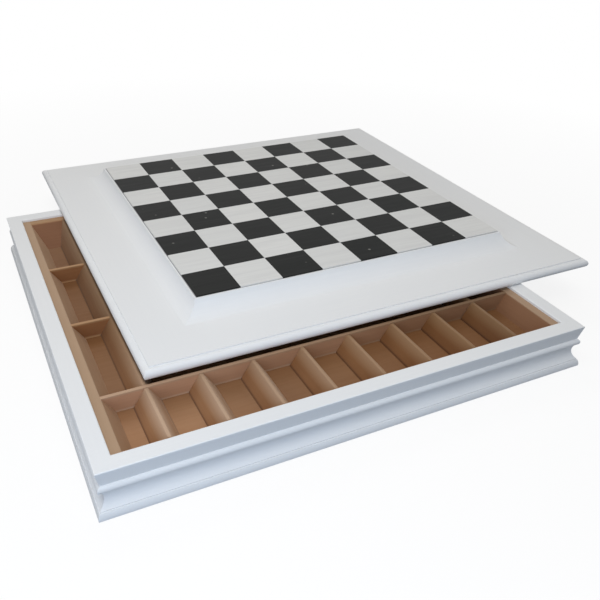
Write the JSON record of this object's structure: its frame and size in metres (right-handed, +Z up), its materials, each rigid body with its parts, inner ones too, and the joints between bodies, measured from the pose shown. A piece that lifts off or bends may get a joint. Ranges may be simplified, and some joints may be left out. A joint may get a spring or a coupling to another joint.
{
  "type": "chess box",
  "caption": "Low square chess box: a moulded white tray with sloped brown compartments and a lift-off lid that carries an inlaid black and white board.",
  "frame": {"origin": "middle of the tray's flat underside", "axes": "+X to the right along the front rail, +Y to the back, +Z up out of the tray"},
  "size_m": [0.5076, 0.5319, 0.065],
  "materials": {
    "white_paint": "satin white paint",
    "brown_insert": "matte",
    "black_inlay": "satin",
    "pale_inlay": "satin",
    "plain_board": "matte",
    "screw_steel": "zinc plated"
  },
  "bodies": {
    "tray": {"tray_front_rail": "white_paint", "tray_back_rail": "white_paint", "tray_left_rail": "white_paint", "tray_right_rail": "white_paint", "tray_keys": "plain_board", "base_panel": "plain_board", "base_screws": "screw_steel", "floor_board": "brown_insert", "front_lining": "brown_insert", "back_lining": "brown_insert", "left_lining": "brown_insert", "right_lining": "brown_insert", "row_wall": "brown_insert", "row_ridge_1": "brown_insert", "row_ridge_2": "brown_insert", "row_ridge_3": "brown_insert", "row_ridge_4": "brown_insert", "row_ridge_5": "brown_insert", "row_ridge_6": "brown_insert", "row_ridge_7": "brown_insert", "row_ridge_8": "brown_insert", "left_column_ridge": "brown_insert", "right_column_ridge": "brown_insert", "left_divider_1": "brown_insert", "left_divider_2": "brown_insert", "right_divider_1": "brown_insert", "right_divider_2": "brown_insert"},
    "lid": {"lid_front_frame": "white_paint", "lid_back_frame": "white_paint", "lid_left_frame": "white_paint", "lid_right_frame": "white_paint", "lid_keys": "plain_board", "board_core": "plain_board", "black_squares": "black_inlay", "white_squares": "pale_inlay", "locating_blocks": "plain_board"}
  },
  "joints": [
    {"name": "lid_lift", "type": "slide", "parent": "tray", "child": "lid", "axis": [0, 0, 1], "range_m": [0, 0.25]}
  ]
}
